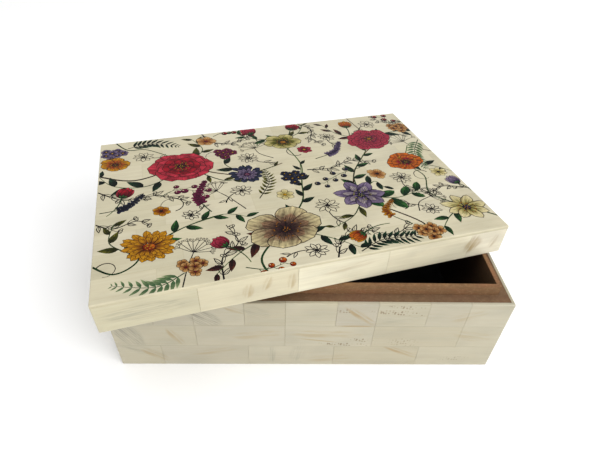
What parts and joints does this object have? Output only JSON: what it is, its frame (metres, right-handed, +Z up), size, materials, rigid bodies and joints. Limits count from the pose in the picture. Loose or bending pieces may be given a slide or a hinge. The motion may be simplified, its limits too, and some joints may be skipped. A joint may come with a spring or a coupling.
{
  "type": "bone inlay box",
  "caption": "Rectangular lidded keepsake box of board faced with polished bone tiles, its printed floral lift-off lid lying askew on a raised inner lip.",
  "frame": {"origin": "middle of the box's underside, on the plane that it stands on", "axes": "+X along the box's length to the right as seen from the front, +Y from the front to the back, +Z up"},
  "size_m": [0.2612, 0.2086, 0.0846],
  "materials": {
    "bone": "polished bone tiles, satin, with streaks and natural pores",
    "printed_bone": "bone tiles with a floral print under clear gloss resin",
    "board": "raw brown fibreboard edges, with matt black inner faces"
  },
  "bodies": {
    "root": {"back_board": "board", "back_bone_course_1": "bone", "back_bone_course_2": "bone", "back_bone_course_3": "bone", "back_liner": "board", "base_board": "board", "front_board": "board", "front_bone_tile_1_1": "bone", "front_bone_tile_1_2": "bone", "front_bone_tile_1_3": "bone", "front_bone_tile_1_4": "bone", "front_bone_tile_1_5": "bone", "front_bone_tile_2_1": "bone", "front_bone_tile_2_2": "bone", "front_bone_tile_2_3": "bone", "front_bone_tile_2_4": "bone", "front_bone_tile_2_5": "bone", "front_bone_tile_3_1": "bone", "front_bone_tile_3_2": "bone", "front_bone_tile_3_3": "bone", "front_bone_tile_3_4": "bone", "front_bone_tile_3_5": "bone", "front_bone_tile_3_6": "bone", "front_bone_tile_3_7": "bone", "front_bone_tile_3_8": "bone", "front_bone_tile_3_9": "bone", "front_liner": "board", "left_board": "board", "left_bone_course_1": "bone", "left_bone_course_2": "bone", "left_bone_course_3": "bone", "left_liner": "board", "lid_back_board": "board", "lid_back_bone_strip": "bone", "lid_front_board": "board", "lid_front_bone_tile_1": "bone", "lid_front_bone_tile_2": "bone", "lid_front_bone_tile_3": "bone", "lid_front_bone_tile_4": "bone", "lid_front_bone_tile_5": "bone", "lid_left_board": "board", "lid_left_bone_strip": "bone", "lid_right_board": "board", "lid_right_bone_strip": "bone", "lid_top_board": "board", "lid_top_bone_course_1": "printed_bone", "lid_top_bone_course_2": "printed_bone", "lid_top_bone_course_3": "printed_bone", "lid_top_bone_course_4": "printed_bone", "lid_top_bone_course_5": "printed_bone", "lid_top_bone_course_6": "printed_bone", "lid_top_bone_course_7": "printed_bone", "lid_top_bone_course_8": "printed_bone", "lid_top_bone_course_9": "printed_bone", "right_board": "board", "right_bone_course_1": "bone", "right_bone_course_2": "bone", "right_bone_course_3": "bone", "right_liner": "board"}
  },
  "joints": []
}
